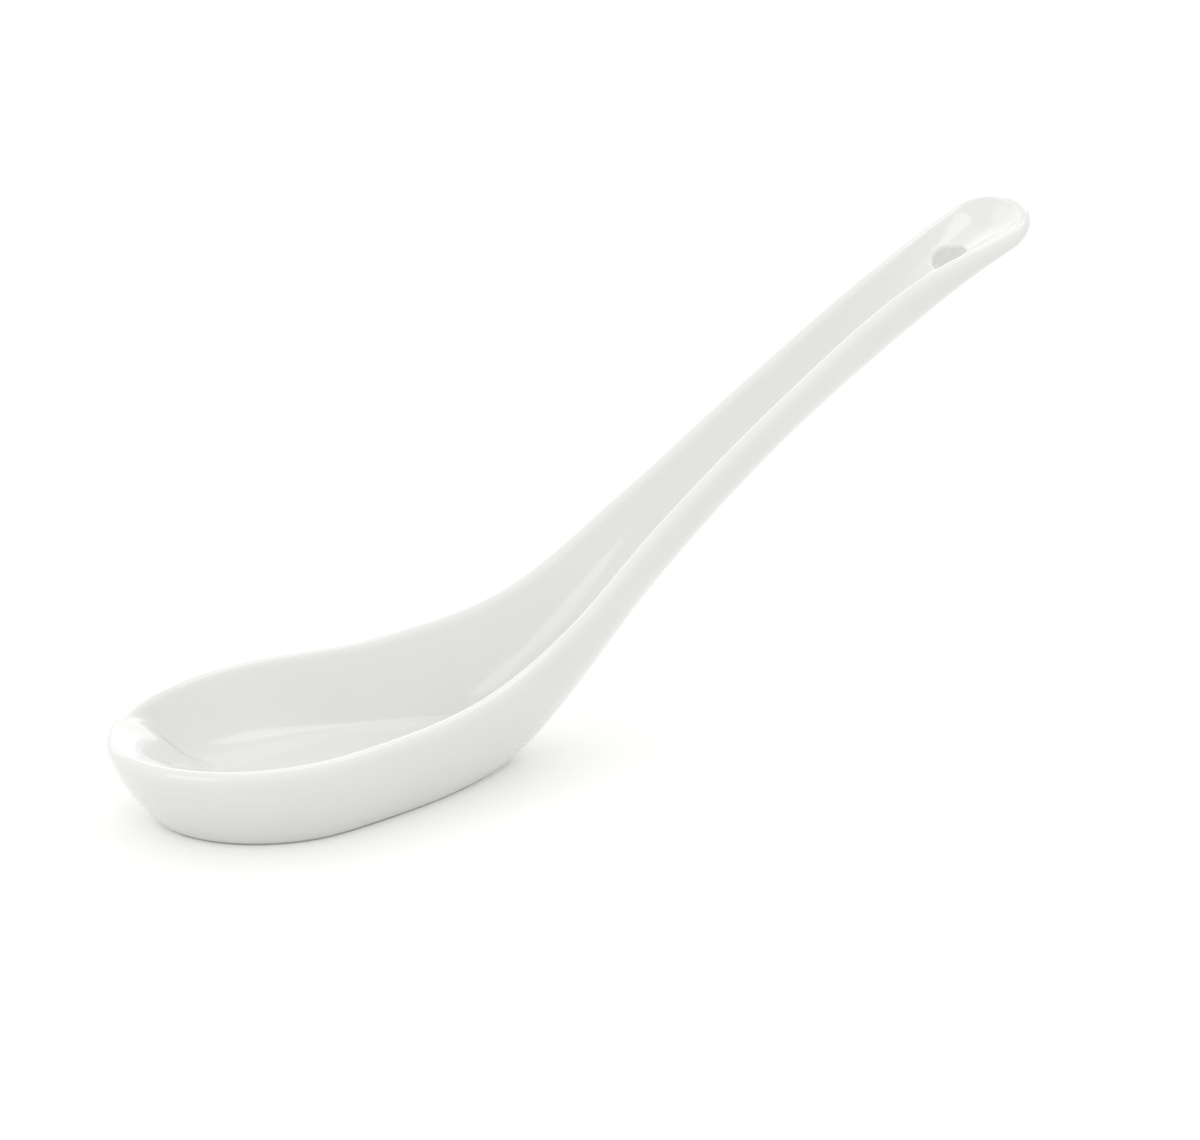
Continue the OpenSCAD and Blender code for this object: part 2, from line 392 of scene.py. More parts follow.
@dataclass(frozen=True)
class Mouth:
    """One mouth of the hanging hole.

    Args:
        middle: A point on the hole's axis.
        facing: Direction from which the mouth is seen, along the axis.
        r: Radius of the hole.
        flare: Radius of its rounded mouth.
        margin: Width of the ring of untouched skin that is meshed anew round it.
        search: How many times that ring's radius the window is looked for in.
        facing_share: How squarely a face must look along the axis to be in the window.
        lead: How far off the skin a ray towards it starts.
        sides: Sides of the window.
        ring_steps: Points round the mouth.
        outer_steps: Rings from the window to the mouth.
        flare_steps: Rings over the mouth's rounding.
    """

    middle: Vector
    facing: Vector
    r: float
    flare: float
    margin: float = 0.35
    search: float = 2.0
    facing_share: float = 0.3
    lead: float = 20.0
    sides: int = 24
    ring_steps: int = 160
    outer_steps: int = 3
    flare_steps: int = 8

    @property
    def side(self) -> Vector:
        """Direction along the spoon that is square to the axis."""
        return Vector((abs(self.facing.z), 0, abs(self.facing.x)))

    def outward(self, angle: float) -> Vector:
        """Direction away from the axis at an angle round it."""
        return self.side * math.cos(angle) + Vector((0, math.sin(angle), 0))

    def flat(self, p: Vector) -> Pair:
        """Distance of a point from the axis and its angle round it.

        Args:
            p: The point.

        Returns:
            The distance, and the angle from -pi up to but not pi.
        """
        u, w = (p - self.middle).dot(self.side), p.y
        angle = math.atan2(w, u)
        return math.hypot(u, w), -math.pi if angle > math.pi - MERGE_DISTANCE else angle

    def on_skin(self, whole: BVHTree, distance: float, angle: float) -> Vector:
        """Point of the untouched skin at a distance and an angle."""
        start = self.middle + self.outward(angle) * distance + self.facing * self.lead
        return whole.ray_cast(start, -self.facing)[0]

    def mark_out(self, bm: bmesh.types.BMesh) -> list[bmesh.types.BMFace]:
        """Cuts the skin along a many-sided window round the mouth.

        Args:
            bm: The skin, changed in place.

        Returns:
            The faces inside the window.
        """
        reach = self.r + self.flare + self.margin
        inside = [
            face
            for face in bm.faces
            if face.normal.dot(self.facing) > self.facing_share
            and self.flat(face.calc_center_median())[0] < self.search * reach
        ]
        for i in range(self.sides):
            out = self.outward(2 * math.pi * (i + 0.5) / self.sides)
            edges = dict.fromkeys(e for face in inside for e in face.edges)
            verts = dict.fromkeys(v for face in inside for v in face.verts)
            cut = bmesh.ops.bisect_plane(
                bm,
                geom=[*inside, *edges, *verts],
                plane_co=self.middle + out * reach,
                plane_no=out,
                dist=MERGE_DISTANCE,
            )
            inside = [
                g
                for g in cut["geom"]
                if isinstance(g, bmesh.types.BMFace)
                and (g.calc_center_median() - self.middle).dot(out) < reach
            ]
        bm.normal_update()
        return inside

    def open(
        self, bm: bmesh.types.BMesh, window: list[bmesh.types.BMFace]
    ) -> list[bmesh.types.BMEdge]:
        """Takes the window out and splits its longest edges until they are ring_steps.

        Args:
            bm: The skin, changed in place.
            window: The faces inside the window.

        Returns:
            The edges round the open window.
        """
        inner = set(window)
        edges = dict.fromkeys(e for face in window for e in face.edges)
        ring = [e for e in edges if not set(e.link_faces) <= inner]
        bmesh.ops.delete(bm, geom=window, context="FACES")
        while len(ring) < self.ring_steps:
            longest = max(ring, key=lambda e: e.calc_length())
            ring.append(bmesh.utils.edge_split(longest, longest.verts[0], 0.5)[0])
        return ring

    def turn_in(
        self, bm: bmesh.types.BMesh, whole: BVHTree, ring: list[bmesh.types.BMEdge]
    ) -> list[bmesh.types.BMEdge]:
        """Grows rings from the window's edge to the mouth and down into the hole.

        Args:
            bm: The skin with the window cut out, changed in place.
            whole: The skin before any window was cut.
            ring: The window's edges.

        Returns:
            The edges of the last ring.
        """
        places = {v: self.flat(v.co) for e in ring for v in e.verts}
        order = sorted(places, key=lambda v: places[v][1])
        even = {v: i * 2 * math.pi / len(order) - math.pi for i, v in enumerate(order)}
        targets = {v: (*places[v], even[v]) for v in order}
        steps = self.outer_steps + self.flare_steps
        for step in range(1, steps + 1):
            grown = bmesh.ops.extrude_edge_only(bm, edges=ring)["geom"]
            fresh = {g for g in grown if isinstance(g, bmesh.types.BMVert)}
            moved = {}
            for v, target in targets.items():
                others = (e.other_vert(v) for e in v.link_edges)
                moved[next(other for other in others if other in fresh)] = target
            turn = math.pi / 2 * max(step - self.outer_steps, 0) / self.flare_steps
            for v, (distance, angle, even_angle) in moved.items():
                angle = mix(angle, even_angle, step / steps)
                near = min(step / self.outer_steps, 1)
                edge = mix(distance, self.r + self.flare, near)
                start = self.on_skin(whole, edge, angle)
                down = self.facing * self.flare * (1 - math.cos(turn))
                v.co = start - self.outward(angle) * self.flare * math.sin(turn) - down
            ring = [
                g
                for g in grown
                if isinstance(g, bmesh.types.BMEdge) and set(g.verts) <= fresh
            ]
            targets = moved
        return ring


@dataclass
class SpoonSkin:
    """Outer surface of the spoon as one closed mesh in millimetres.

    Args:
        form: The shape.
        mesh: How finely it is meshed.
        hole_d: Diameter of the hanging hole.
        hole_inset: Distance of its centre from the end.
        hole_round: Radius of its mouths.
    """

    form: SpoonForm = field(default_factory=SpoonForm)
    mesh: SkinMesh = field(default_factory=SkinMesh)
    hole_d: float = 4.6
    hole_inset: float = 11.5
    hole_round: float = 0.7

    def station(self, k: int) -> Station:
        """Section at a step round the outline.

        Args:
            k: The step, from 0 at the lip's middle.

        Returns:
            The section's place and direction.
        """
        f, m = self.form, self.mesh
        heel_k = m.lip_steps + m.heel_steps
        end_k = heel_k + m.handle_steps
        if k <= m.lip_steps:
            a = math.radians(90 * k / m.lip_steps)
            run = -f.widest_x * math.cos(a) ** (2 / f.outline_power)
            across = f.bowl_w / 2 * math.sin(a) ** (2 / f.outline_power)
            if k == m.lip_steps:
                run = 0.0
            reach = math.hypot(run, across)
            turn = math.sin(a) ** 2
            return Station(f.widest_x, reach, run / reach, across / reach, turn)
        if k <= end_k:
            heel = f.heel_x()
            if k <= heel_k:
                x = mix(f.widest_x, heel, (k - m.lip_steps) / m.heel_steps)
            else:
                x = mix(heel, f.end_x, (k - heel_k) / m.handle_steps)
            return Station(x, f.half_w(x), 0.0, 1.0, 1.0)
        a = math.radians(90 * (k - end_k) / m.end_steps)
        run = f.end_round * math.sin(a) ** (2 / f.outline_power)
        across = 0.0
        if k < m.stations:
            across = f.half_w(f.end_x) * math.cos(a) ** (2 / f.outline_power)
        reach = math.hypot(run, across)
        return Station(f.end_x, reach, run / reach, across / reach, 1.0)

    def outer_wall(self, s: Station, top: float) -> list[Vector]:
        """Points of a section's outside, from under the middle up to the rim.

        Args:
            s: The section.
            top: Height at which the rim's round starts.

        Returns:
            The points in order.
        """
        f, m = self.form, self.mesh
        lip_keel = f.lip_keel

        def under(x: float) -> float:
            """Lowest height under the wall."""
            return mix(lip_keel, f.keel_z(max(x, s.centre)), s.turn)

        round_share = ease(
            f.belly_end_share, f.handle_start_share, s.centre / f.overall_l
        )
        bowl_power = mix(f.lip_power, f.belly_power, s.turn)
        power = mix(bowl_power, f.handle_power, round_share)
        keel = under(s.centre)
        foot_share = wall_share(-keel / (top - keel), power) if keel < 0 else 0.0
        strip = max(foot_share, f.centre_strip_share)
        start = math.asin(strip ** (power / 2))
        points = []
        for i in range(m.under_steps + m.outer_steps + 1):
            if i < m.under_steps:
                a = math.asin((strip * i / m.under_steps) ** (power / 2))
            else:
                a = mix(start, math.pi / 2, (i - m.under_steps) / m.outer_steps)
            d = s.reach * math.sin(a) ** (2 / power)
            left = max(math.cos(a), 0.0) ** (2 / power)
            z = mix(top, under(s.centre + s.run * d), left)
            cut = i <= m.under_steps and foot_share >= f.centre_strip_share
            points.append(s.point(d, 0.0 if cut else max(z, 0.0)))
        return points

    def rim_and_hollow(self, s: Station, top: float) -> list[Vector]:
        """Points of a section's rim and inside, down to the hollow's middle.

        Args:
            s: The section.
            top: Height at which the rim's round starts.

        Returns:
            The points in order.
        """
        f, m = self.form, self.mesh
        side_base = f.side_base

        def inside(x: float) -> float:
            """Lowest height inside the wall."""
            return side_base if s.turn < 1 else f.hollow_z(max(x, s.centre))

        full = ease(f.bowl_end_share, f.trough_start_share, s.centre / f.overall_l)
        inner_power = mix(f.bowl_power, f.trough_power, full)
        side = ease(f.front_end_share, f.side_start_share, s.turn)
        sink = 1 + f.front_sink * s.turn
        base = inside(s.centre)
        front_slope = f.front.slope(len(f.front.rows) - 1) * sink
        steep = mix(front_slope, inner_power, side)
        slope = f.rim_slope(s.reach, top + f.rim_r - base, steep)
        points = []
        for i in range(1, m.rim_steps + 1):
            a = (math.pi / 2 + slope) * i / m.rim_steps
            d = s.reach - f.rim_r * (1 - math.cos(a))
            points.append(s.point(d, top + f.rim_r * math.sin(a)))

        inner_reach = s.reach - f.rim_r * (1 + math.sin(slope))
        inner_top = top + f.rim_r * math.cos(slope)
        floor_share = 0.0
        if base < f.floor_t:
            floor_rise = (f.floor_t - base) / (inner_top - base)
            floor_share = floor_rise ** (1 / inner_power)
        strip = max(floor_share, f.centre_strip_share)
        for i in range(1, m.inner_steps + m.floor_steps + 1):
            if i <= m.inner_steps:
                share = mix(1, strip, i / m.inner_steps)
            else:
                share = strip * (1 - (i - m.inner_steps) / m.floor_steps)
            d = inner_reach * share
            rise = mix(f.front.at(share) ** sink, share**inner_power, side)
            z = mix(inside(s.centre + s.run * d), inner_top, rise)
            points.append(s.point(d, f.above_floor(z)))
        return points

    def section(self, s: Station) -> list[Vector]:
        """Points of a section, from under the middle over the rim to the hollow."""
        top = self.form.rim_z(s.centre + s.run * s.reach) - self.form.rim_r
        return [*self.outer_wall(s, top), *self.rim_and_hollow(s, top)]

    def drape(self) -> bmesh.types.BMesh:
        """Drapes a flat sheet over half of the form and mirrors it.

        Returns:
            The closed skin, without its hole.
        """
        bm = bmesh.new()
        across, along = self.mesh.points, self.mesh.stations
        bmesh.ops.create_grid(bm, x_segments=across, y_segments=along, size=1.0)
        sections = [self.section(self.station(k)) for k in range(along + 1)]
        for v in bm.verts:
            j = round((v.co.x + 1) / 2 * across)
            k = round((v.co.y + 1) / 2 * along)
            v.co = sections[k][j]
        bmesh.ops.remove_doubles(bm, verts=bm.verts, dist=MERGE_DISTANCE)
        bmesh.ops.mirror(
            bm,
            geom=[*bm.verts, *bm.edges, *bm.faces],
            axis="Y",
            merge_dist=MERGE_DISTANCE,
        )
        bmesh.ops.remove_doubles(bm, verts=bm.verts, dist=MERGE_DISTANCE)
        bmesh.ops.dissolve_degenerate(bm, edges=bm.edges, dist=MERGE_DISTANCE)
        return bm

    def drill(self, bm: bmesh.types.BMesh) -> None:
        """Opens the hanging hole with rounded mouths.

        Args:
            bm: The closed skin, changed in place.
        """
        f = self.form
        x, r = f.overall_l - self.hole_inset, self.hole_d / 2
        tilt = math.atan2(f.hollow_z(x + r) - f.hollow_z(x - r), 2 * r)
        axis = Vector((-math.sin(tilt), 0, math.cos(tilt)))
        middle = Vector((x, 0, f.hollow_z(x)))
        whole = BVHTree.FromBMesh(bm)
        mouths = [Mouth(middle, facing, r, self.hole_round) for facing in (axis, -axis)]
        windows = [mouth.mark_out(bm) for mouth in mouths]
        ends: list[bmesh.types.BMEdge] = []
        for mouth, window in zip(mouths, windows):
            ends += mouth.turn_in(bm, whole, mouth.open(bm, window))
        bmesh.ops.bridge_loops(bm, edges=ends)

    def build(self) -> bmesh.types.BMesh:
        """Makes the closed skin with its hole and outward faces.

        Returns:
            The skin in millimetres, from the lip and the table.
        """
        bm = self.drape()
        bmesh.ops.recalc_face_normals(bm, faces=bm.faces)
        bm.normal_update()
        self.drill(bm)
        bmesh.ops.recalc_face_normals(bm, faces=bm.faces)
        bm.normal_update()
        return bm


def start_finish(
    name: str,
) -> tuple[bpy.types.Material, bpy.types.NodeTree, bpy.types.Node]:
    """Makes a material with its shader.

    Args:
        name: The material's name.

    Returns:
        The material, its nodes and the shader.
    """
    material = bpy.data.materials.new(name)
    material.use_nodes = True
    tree = material.node_tree
    tree.nodes.clear()
    shader = tree.nodes.new("ShaderNodeBsdfPrincipled")
    out = tree.nodes.new("ShaderNodeOutputMaterial")
    tree.links.new(shader.outputs["BSDF"], out.inputs["Surface"])
    return material, tree, shader


def add_range(
    tree: bpy.types.NodeTree,
    value: bpy.types.NodeSocket,
    low: float,
    high: float,
    to_low: float,
    to_high: float,
) -> bpy.types.NodeSocket:
    """Maps a value from one range to another and holds it within.

    Args:
        tree: The material's nodes.
        value: The value.
        low: Start of its range.
        high: End of its range.
        to_low: What the start becomes.
        to_high: What the end becomes.

    Returns:
        The mapped value.
    """
    node = tree.nodes.new("ShaderNodeMapRange")
    tree.links.new(value, node.inputs["Value"])
    node.inputs["From Min"].default_value = low
    node.inputs["From Max"].default_value = high
    node.inputs["To Min"].default_value = to_low
    node.inputs["To Max"].default_value = to_high
    return node.outputs["Result"]


@dataclass(frozen=True)
class Noise:
    """A noise over a piece.

    Args:
        scale: How many waves fit a metre.
        detail: Octaves of finer noise.
        roughness: Strength of the finer octaves.
        low: Value up to which there is nothing of what it brings.
        high: Value from which there is all of it.
    """

    scale: float
    detail: float
    roughness: float = 0.5
    low: float = 0.0
    high: float = 1.0

    def add(self, tree: bpy.types.NodeTree) -> bpy.types.NodeSocket:
        """Adds the noise.

        Args:
            tree: The material's nodes.

        Returns:
            The noise's value.
        """
        spot = tree.nodes.new("ShaderNodeTexCoord")
        noise = tree.nodes.new("ShaderNodeTexNoise")
        noise.inputs["Scale"].default_value = self.scale
        noise.inputs["Detail"].default_value = self.detail
        noise.inputs["Roughness"].default_value = self.roughness
        tree.links.new(spot.outputs["Object"], noise.inputs["Vector"])
        return noise.outputs["Fac"]

    def spread(
        self, tree: bpy.types.NodeTree, start: float, end: float
    ) -> bpy.types.NodeSocket:
        """Adds the noise, spread from a start to an end."""
        return add_range(tree, self.add(tree), self.low, self.high, start, end)


def add_blend(
    tree: bpy.types.NodeTree,
    share: bpy.types.NodeSocket,
    a: bpy.types.NodeSocket | Triple,
    b: bpy.types.NodeSocket | Triple,
) -> bpy.types.NodeSocket:
    """Blends two colours.

    Args:
        tree: The material's nodes.
        share: Share of the second colour.
        a: The first colour, or where it comes from.
        b: The second colour, or where it comes from.

    Returns:
        The blended colour.
    """
    node = tree.nodes.new("ShaderNodeMix")
    node.data_type = "RGBA"
    tree.links.new(share, node.inputs["Factor"])
    for index, colour in ((MIX_COLOUR_A, a), (MIX_COLOUR_B, b)):
        socket = node.inputs[index]
        if isinstance(colour, tuple):
            socket.default_value = (*colour, 1.0)
        else:
            tree.links.new(colour, socket)
    return node.outputs[MIX_COLOUR_OUT]


def add_bump(
    tree: bpy.types.NodeTree,
    height: bpy.types.NodeSocket,
    depth: float,
    below: bpy.types.NodeSocket | None = None,
) -> bpy.types.NodeSocket:
    """Adds relief.

    Args:
        tree: The material's nodes.
        height: Height of the relief as a share.
        depth: Its full depth in metres.
        below: A relief that it is added to.

    Returns:
        The bent normal.
    """
    node = tree.nodes.new("ShaderNodeBump")
    node.inputs["Strength"].default_value = 1.0
    node.inputs["Distance"].default_value = depth
    tree.links.new(height, node.inputs["Height"])
    if below is not None:
        tree.links.new(below, node.inputs["Normal"])
    return node.outputs["Normal"]


@dataclass(frozen=True)
class WhiteGlaze:
    """Clear porcelain glaze over white clay.

    It is creamier where it runs thin over edges, and cooler, greener and darker where it
    pools in hollows and creases: partly the glaze's own tint, partly painted shade.
    Depths are in metres.
    """

    body_colour: Triple = (0.80, 0.805, 0.79)
    cloud_shade: float = 0.985
    cloud_noise: Noise = Noise(60.0, 3, low=0.35, high=0.65)
    thin_colour: Triple = (0.82, 0.82, 0.81)
    thin_at: float = 0.2
    pool_and_shade_colour: Triple = (0.72, 0.745, 0.69)
    pool_and_shade_at: float = 0.9
    roughness: float = 0.16
    roughness_spread: float = 0.15
    roughness_noise: Noise = Noise(240.0, 4, low=0.3, high=0.7)
    wave_depth: float = 0.00002
    wave_noise: Noise = Noise(110.0, 1)
    peel_depth: float = 0.0000015
    peel_noise: Noise = Noise(900.0, 2)
    ior: float = 1.5
    coat_roughness: float = 0.06
    coat_ior: float = 1.55

    def make(self, attribute: str) -> bpy.types.Material:
        """Makes the material.

        Args:
            attribute: Name of the mesh attribute that says where glaze pools, with its
                painted shade, and where it runs thin.

        Returns:
            The material.
        """
        material, tree, shader = start_finish("porcelain_white_glaze")
        pool_and_shade_mark = tree.nodes.new("ShaderNodeAttribute")
        pool_and_shade_mark.attribute_name = attribute
        thin = add_range(tree, pool_and_shade_mark.outputs["Fac"], EVEN_GLAZE, self.thin_at, 0, 1)
        # Painted shade: hollows and creases take the darker, greener pool colour, partly
        # real pooling of the glaze.
        pooled_and_shaded = add_range(tree, pool_and_shade_mark.outputs["Fac"], EVEN_GLAZE, self.pool_and_shade_at, 0, 1)
        tone = add_blend(
            tree,
            self.cloud_noise.spread(tree, 0, 1),
            self.body_colour,
            tuple(c * self.cloud_shade for c in self.body_colour),
        )
        tone = add_blend(tree, thin, tone, self.thin_colour)
        tone = add_blend(tree, pooled_and_shaded, tone, self.pool_and_shade_colour)
        tree.links.new(tone, shader.inputs["Base Color"])
        rough = self.roughness_noise.spread(
            tree,
            self.roughness * (1 - self.roughness_spread),
            self.roughness * (1 + self.roughness_spread),
        )
        tree.links.new(rough, shader.inputs["Roughness"])
        waves = add_bump(tree, self.wave_noise.add(tree), self.wave_depth)
        relief = add_bump(tree, self.peel_noise.add(tree), self.peel_depth, waves)
        tree.links.new(relief, shader.inputs["Normal"])
        shader.inputs["IOR"].default_value = self.ior
        shader.inputs["Coat Weight"].default_value = 1.0
        shader.inputs["Coat Roughness"].default_value = self.coat_roughness
        shader.inputs["Coat IOR"].default_value = self.coat_ior
        return material


@dataclass(frozen=True)
class BareClay:
    """Unglazed porcelain, wiped and sanded: matt, dry and finely grained.

    The depth of its grain is in metres.
    """

    colour: Triple = (0.76, 0.735, 0.68)
    worn_colour: Triple = (0.62, 0.585, 0.52)
    worn_noise: Noise = Noise(90.0, 5, 0.65, 0.52, 0.72)
    speck_colour: Triple = (0.45, 0.40, 0.33)
    speck_strength: float = 0.5
    speck_noise: Noise = Noise(2600.0, 2, low=0.68, high=0.74)
    least_roughness: float = 0.62
    most_roughness: float = 0.82
    roughness_noise: Noise = Noise(1200.0, 3, low=0.3, high=0.7)
    grain_depth: float = 0.00006
    grain_noise: Noise = Noise(3200.0, 4, 0.7)
    shine: float = 0.25

    def make(self) -> bpy.types.Material:
        """Makes the material.

        Returns:
            The material.
        """
        material, tree, shader = start_finish("porcelain_bare_clay")
        worn = self.worn_noise.spread(tree, 0, 1)
        tone = add_blend(tree, worn, self.colour, self.worn_colour)
        specks = self.speck_noise.spread(tree, 0, self.speck_strength)
        tone = add_blend(tree, specks, tone, self.speck_colour)
        tree.links.new(tone, shader.inputs["Base Color"])
        rough = self.roughness_noise.spread(
            tree, self.least_roughness, self.most_roughness
        )
        tree.links.new(rough, shader.inputs["Roughness"])
        grain = add_bump(tree, self.grain_noise.add(tree), self.grain_depth)
        tree.links.new(grain, shader.inputs["Normal"])
        shader.inputs["Specular IOR Level"].default_value = self.shine
        return material


def add_seen(tree: bpy.types.NodeTree) -> bpy.types.NodeSocket:
    """Adds a switch that is on where the camera sees a thing, mirrored or not.

    Args:
        tree: The material's or the world's nodes.

    Returns:
        The switch's value.
    """
    path = tree.nodes.new("ShaderNodeLightPath")
    seen = path.outputs["Is Camera Ray"]
    for ray in ("Is Glossy Ray", "Is Transmission Ray"):
        either = tree.nodes.new("ShaderNodeMath")
        either.operation = "MAXIMUM"
        tree.links.new(seen, either.inputs[0])
        tree.links.new(path.outputs[ray], either.inputs[1])
        seen = either.outputs[0]
    return seen


@dataclass(frozen=True)
class StudioFloor:
    """Plain white sweep under the spoon, which keeps its shadow.

    Args:
        colour: What it is painted.
        glow: Light that it adds where it is seen.
        size: Length of its sides in metres.
    """

    colour: Triple = (0.82, 0.82, 0.81)
    glow: float = 0.24
    size: float = 6.0

    def make(self) -> None:
        """Makes the floor."""
        bm = bmesh.new()
        bmesh.ops.create_grid(bm, x_segments=1, y_segments=1, size=self.size / 2)
        floor = add_object("studio_floor", bm)
        material = bpy.data.materials.new("studio_white")
        material.use_nodes = True
        tree = material.node_tree
        tree.nodes.clear()
        plain = tree.nodes.new("ShaderNodeBsdfDiffuse")
        plain.inputs["Color"].default_value = (*self.colour, 1.0)
        glow = tree.nodes.new("ShaderNodeEmission")
        strength = tree.nodes.new("ShaderNodeMath")
        strength.operation = "MULTIPLY"
        strength.inputs[1].default_value = self.glow
        add = tree.nodes.new("ShaderNodeAddShader")
        out = tree.nodes.new("ShaderNodeOutputMaterial")
        tree.links.new(add_seen(tree), strength.inputs[0])
        tree.links.new(strength.outputs[0], glow.inputs["Strength"])
        tree.links.new(plain.outputs[0], add.inputs[0])
        tree.links.new(glow.outputs[0], add.inputs[1])
        tree.links.new(add.outputs[0], out.inputs["Surface"])
        floor.data.materials.append(material)
        floor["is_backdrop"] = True


def add_object(name: str, bm: bmesh.types.BMesh) -> bpy.types.Object:
    """Turns a bmesh into a smooth-shaded object at the origin.

    Args:
        name: The object's name.
        bm: The mesh, which is freed.

    Returns:
        The object.
    """
    for face in bm.faces:
        face.smooth = True
    mesh = bpy.data.meshes.new(name)
    bm.to_mesh(mesh)
    bm.free()
    made = bpy.data.objects.new(name, mesh)
    bpy.context.scene.collection.objects.link(made)
    return made


@dataclass
class GlazeCoat:
    """The glaze as a thin closed shell that ends above the bare foot.

    Args:
        skin: The outer surface.
        thickness: Thickness of the glaze in millimetres.
        bare_h: Height above the table at which it ends.
        edge_round: Radius of its lower edges.
        edge_steps: Steps over that rounding.
        bend_gain: How strongly a bend of the surface marks a pool, with its painted shade,
            or a thin edge.
        least_step: Length in millimetres that a shorter edge of the mesh counts as.
        smooth_rounds: How often the marks are averaged with their neighbours.
        finish: What it looks like.
        pool_and_shade_name: Name of the attribute that holds the marks.
    """

    skin: SpoonSkin
    thickness: float = 0.3
    bare_h: float = 0.4
    edge_round: float = 0.12
    edge_steps: int = 3
    bend_gain: float = 0.9
    least_step: float = 0.001
    smooth_rounds: int = 6
    finish: WhiteGlaze = field(default_factory=WhiteGlaze)
    pool_and_shade_name: str = "glaze_pool_and_shade"

    def build(self, origin_x: float) -> bpy.types.Object:
        """Makes the coat.

        Args:
            origin_x: Distance from the lip to the frame's origin, in millimetres.

        Returns:
            The coat.
        """
        bm = self.skin.build()
        bmesh.ops.bisect_plane(
            bm,
            geom=[*bm.verts, *bm.edges, *bm.faces],
            plane_co=(0, 0, self.bare_h),
            plane_no=(0, 0, 1),
            clear_inner=True,
        )
        self.mark_pools_and_shade(bm)
        lower = [e for e in bm.edges if e.is_boundary]
        self.line_inside(bm)
        bmesh.ops.bevel(
            bm,
            geom=lower,
            offset=self.edge_round,
            affect="EDGES",
            segments=self.edge_steps,
            profile=0.5,
            material=-1,
        )
        place(bm, origin_x)
        coat = add_object("white_glaze_coat", bm)
        coat.data.materials.append(self.finish.make(self.pool_and_shade_name))
        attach(coat, "root")
        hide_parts("glaze_coat")
        return coat

    def line_inside(self, bm: bmesh.types.BMesh) -> None:
        """Gives the outer surface an inner one, and joins them round the bare foot.

        Args:
            bm: The outer surface, changed in place.
        """
        made = bmesh.ops.duplicate(bm, geom=[*bm.verts, *bm.edges, *bm.faces])["geom"]
        bm.normal_update()
        for v in (g for g in made if isinstance(g, bmesh.types.BMVert)):
            v.co -= v.normal * self.thickness
        inner = [g for g in made if isinstance(g, bmesh.types.BMFace)]
        bmesh.ops.reverse_faces(bm, faces=inner)
        bmesh.ops.bridge_loops(bm, edges=[e for e in bm.edges if e.is_boundary])

    def mark_pools_and_shade(self, bm: bmesh.types.BMesh) -> None:
        """Marks where the fired glaze runs together in hollows, which also get painted
        shade there, and thins over edges.

        Args:
            bm: The coat's outer surface.
        """
        bm.normal_update()
        layer = bm.verts.layers.float.new(self.pool_and_shade_name)
        for v in bm.verts:
            bend = 0.0
            for e in v.link_edges:
                step = e.other_vert(v).co - v.co
                square = max(step.length_squared, self.least_step**2)
                bend += step.dot(v.normal) / square
            bend /= max(len(v.link_edges), 1)
            # Hollows mark glaze pools and painted shade; edges mark thin glaze.
            mark = max(min(bend * self.bend_gain, EVEN_GLAZE), -EVEN_GLAZE)
            v[layer] = EVEN_GLAZE + mark
        for _ in range(self.smooth_rounds):
            fresh = [
                (v[layer] + sum(e.other_vert(v)[layer] for e in v.link_edges))
                / (1 + len(v.link_edges))
                for v in bm.verts
            ]
            for v, value in zip(bm.verts, fresh):
                v[layer] = value


@dataclass
class PorcelainBody:
    """The fired clay body, inside the glaze and standing on its flat bare foot.

    Args:
        skin: The outer surface of the glaze.
        glaze_t: Thickness of the glaze in millimetres.
        foot_facing: How squarely a face must look down to belong to the foot.
        finish: What it looks like.
    """

    skin: SpoonSkin
    glaze_t: float = 0.3
    foot_facing: float = 0.9
    finish: BareClay = field(default_factory=BareClay)

    def build(self, origin_x: float) -> bpy.types.Object:
        """Makes the body.

        Args:
            origin_x: Distance from the lip to the frame's origin, in millimetres.

        Returns:
            The body.
        """
        bm = self.skin.build()
        bm.normal_update()
        inset = {v: v.co - v.normal * self.glaze_t for v in bm.verts}
        for v, co in inset.items():
            if v.co.z < MERGE_DISTANCE:
                co.z = 0.0
                if all(f.normal.z < -self.foot_facing for f in v.link_faces):
                    co.x, co.y = v.co.x, v.co.y
            v.co = co
        place(bm, origin_x)
        body = add_object("porcelain_clay_body", bm)
        body.data.materials.append(self.finish.make())
        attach(body, "root")
        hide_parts("porcelain_body")
        return body


def place(bm: bmesh.types.BMesh, origin_x: float) -> None:
    """Moves a mesh from millimetres behind the lip into the frame.

    Args:
        bm: The mesh, changed in place.
        origin_x: Distance from the lip to the frame's origin, in millimetres.
    """
    bmesh.ops.translate(bm, verts=bm.verts, vec=(-origin_x, 0, 0))
    bmesh.ops.scale(bm, verts=bm.verts, vec=(MM, MM, MM))


@dataclass(frozen=True)
class Softbox:
    """A white rectangular studio lamp aimed at the spoon, in metres and watts."""

    name: str
    place: Triple
    size: Pair
    power: float
    aim: Triple = (0.02, 0.0, 0.02)

    def make(self) -> None:
        """Adds the lamp."""
        lamp = bpy.data.lights.new(self.name, "AREA")
        lamp.shape = "RECTANGLE"
        lamp.size, lamp.size_y = self.size
        lamp.energy = self.power
        made = bpy.data.objects.new(self.name, lamp)
        bpy.context.scene.collection.objects.link(made)
        start = Vector(self.place)
        made.location = start
        made.rotation_mode = "QUATERNION"
        made.rotation_quaternion = (Vector(self.aim) - start).to_track_quat("-Z", "Y")


